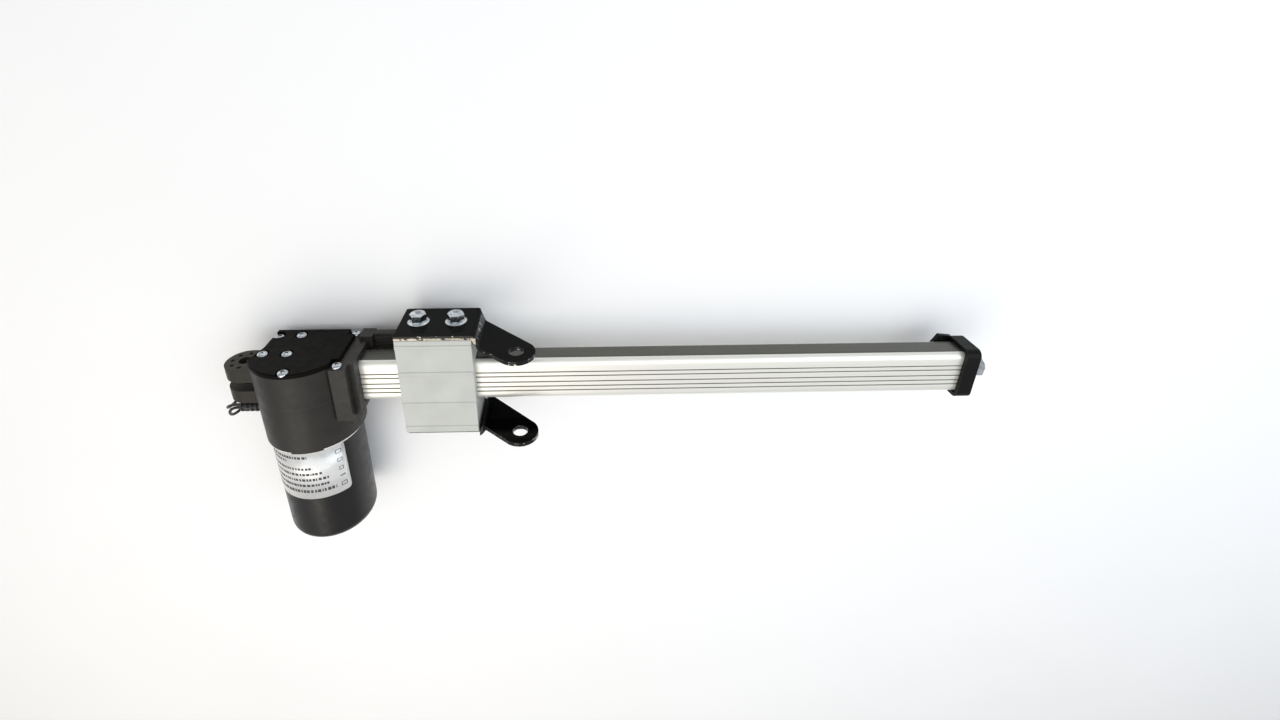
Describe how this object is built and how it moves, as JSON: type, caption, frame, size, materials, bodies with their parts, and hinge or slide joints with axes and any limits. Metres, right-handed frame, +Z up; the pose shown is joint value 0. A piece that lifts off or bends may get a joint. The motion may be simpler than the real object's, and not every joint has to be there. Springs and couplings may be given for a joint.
{
  "type": "linear actuator",
  "caption": "Track linear actuator: a gear motor turns a lead screw that drives a slider block with two pivot brackets along an aluminium track, rear clevis at the other end.",
  "frame": {"origin": "centre of the rear clevis bore, halfway between its two lugs", "axes": "+X from the clevis along the track to the end cap; Y along the clevis bore and the motor axis, with the motor towards -Y; +Z up, out of the grooved front of the track, as the actuator lies on its flat back"},
  "size_m": [0.5243, 0.1696, 0.0682],
  "materials": {
    "housing_black": "fine moulded grain",
    "cover_black": "fine moulded grain",
    "clevis_black": "fine moulded grain",
    "cap_black": "satin moulded",
    "slider_grey": "satin moulded",
    "nut_white": "machined acetal",
    "bracket_black": "gloss black coat",
    "can_black": "satin black coat",
    "track_aluminium": "extruded, natural anodised",
    "zinc": "bright zinc plate",
    "steel": "ground",
    "bronze": "sintered",
    "gear_nylon": "moulded",
    "magnet": "ferrite",
    "lamination": "lacquered",
    "copper": "enamelled wire",
    "plug_zinc": "die cast",
    "label_silver": "silver film",
    "rubber_black": "satin",
    "wire_black": "pvc sheath",
    "switch_black": "moulded",
    "carbon": "carbon"
  },
  "bodies": {
    "frame": {"bearing_balls": "steel", "bearing_outer_race": "steel", "brush_holder": "cap_black", "brushes": "carbon", "counter_bushes": "bronze", "cover_screws": "zinc", "end_bush": "bronze", "end_cap": "cap_black", "end_nut": "zinc", "end_plug": "plug_zinc", "end_stud": "zinc", "end_washer": "zinc", "gearbox_cover": "cover_black", "gearbox_lower_housing": "housing_black", "gearbox_upper_housing": "housing_black", "hank_tie": "cap_black", "housing_screws": "zinc", "inner_limit_switch": "switch_black", "lead_1": "wire_black", "lead_2": "wire_black", "lead_connector": "switch_black", "lead_hank": "wire_black", "magnet_1": "magnet", "magnet_2": "magnet", "motor_can": "can_black", "motor_front_plate": "zinc", "motor_label": "label_silver", "motor_screws": "zinc", "rear_bearing": "bronze", "rear_clevis": "clevis_black", "screw_bush": "bronze", "strain_relief": "rubber_black", "switch_housing": "housing_black", "track": "track_aluminium", "worm_bush": "bronze"},
    "slider": {"slider_block": "slider_grey", "drive_nut": "nut_white", "upper_bracket": "bracket_black", "lower_bracket": "bracket_black", "upper_bracket_bolts": "zinc", "lower_bracket_bolts": "zinc"},
    "rotor": {"rotor_shaft": "steel", "worm": "steel", "armature_core": "lamination", "armature_windings": "copper", "commutator": "copper"},
    "counter": {"counter_shaft": "steel", "worm_wheel": "gear_nylon", "pinion": "steel"},
    "screw": {"lead_screw": "steel", "screw_gear": "gear_nylon", "bearing_inner_race": "steel"}
  },
  "joints": [
    {"name": "rotor_spin", "type": "hinge", "parent": "frame", "child": "rotor", "pos_m": [0.038, 0, -0.0015], "axis": [0, -1, 0], "range_deg": [0, 849600]},
    {"name": "counter_spin", "type": "hinge", "parent": "frame", "child": "counter", "pos_m": [0.045, 0, 0.015], "axis": [1, 0, 0], "range_deg": [0, 35401]},
    {"name": "screw_spin", "type": "hinge", "parent": "frame", "child": "screw", "pos_m": [0.06, 0, 0], "axis": [-1, 0, 0], "range_deg": [0, 17701]},
    {"name": "slider_travel", "type": "slide", "parent": "frame", "child": "slider", "axis": [1, 0, 0], "range_m": [0, 0.295]}
  ],
  "couplings": [
    {"joint": "counter_spin", "follows": "rotor_spin", "ratio": 0.041667},
    {"joint": "screw_spin", "follows": "rotor_spin", "ratio": 0.020833},
    {"joint": "slider_travel", "follows": "rotor_spin", "m_per_rad": 0.000019894}
  ]
}
